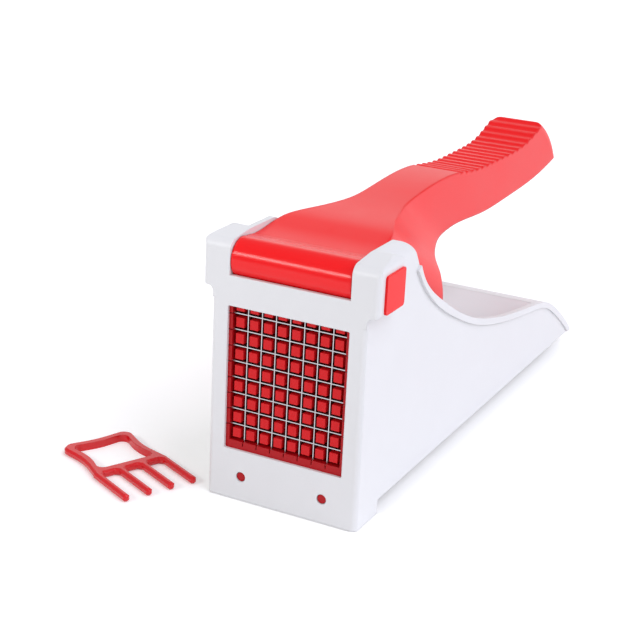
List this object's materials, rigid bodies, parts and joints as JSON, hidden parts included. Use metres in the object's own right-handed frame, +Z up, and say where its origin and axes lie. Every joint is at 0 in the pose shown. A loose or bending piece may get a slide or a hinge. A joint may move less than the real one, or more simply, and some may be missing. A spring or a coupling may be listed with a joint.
{
  "type": "french fry cutter",
  "caption": "Hand-lever french fry cutter: white moulded housing with a window of crossed blades, hinged red lever with a peg pusher, and a loose cleaning comb.",
  "frame": {"origin": "on the table, under the middle of the front foot's pad, 20 mm behind the face of the front plate", "axes": "+X to the right seen from the front, +Y from the front plate to the rear, +Z up"},
  "size_m": [0.1901, 0.3945, 0.156],
  "materials": {
    "white_shell": "satin",
    "red_frame": "satin",
    "red_lever": "satin",
    "red_pusher": "satin",
    "red_cap": "satin",
    "red_comb": "glossy",
    "blade_steel": "fine brushed",
    "pin_steel": "turned",
    "screw_steel": "zinc plated",
    "pad_rubber": "matt"
  },
  "bodies": {
    "housing": {"housing": "white_shell", "blade_frame": "red_frame", "vertical_blade_1": "blade_steel", "vertical_blade_2": "blade_steel", "vertical_blade_3": "blade_steel", "vertical_blade_4": "blade_steel", "vertical_blade_5": "blade_steel", "vertical_blade_6": "blade_steel", "vertical_blade_7": "blade_steel", "horizontal_blade_1": "blade_steel", "horizontal_blade_2": "blade_steel", "horizontal_blade_3": "blade_steel", "horizontal_blade_4": "blade_steel", "horizontal_blade_5": "blade_steel", "horizontal_blade_6": "blade_steel", "horizontal_blade_7": "blade_steel", "horizontal_blade_8": "blade_steel", "hinge_pin": "pin_steel", "pin_cap_left": "red_cap", "pin_cap_right": "red_cap", "foot_pad_front": "pad_rubber", "foot_pad_rear": "pad_rubber"},
    "lever": {"lever": "red_lever", "pusher": "red_pusher", "pusher_screws": "screw_steel"},
    "comb": {"cleaning_comb": "red_comb"}
  },
  "joints": [
    {"name": "lever_hinge", "type": "hinge", "parent": "housing", "child": "lever", "pos_m": [0, -0.009, 0.1334], "axis": [1, 0, 0], "range_deg": [0, 70]},
    {"name": "comb_lift", "type": "slide", "parent": "housing", "child": "comb", "axis": [0, 0, 1], "range_m": [0, 0.1]}
  ]
}
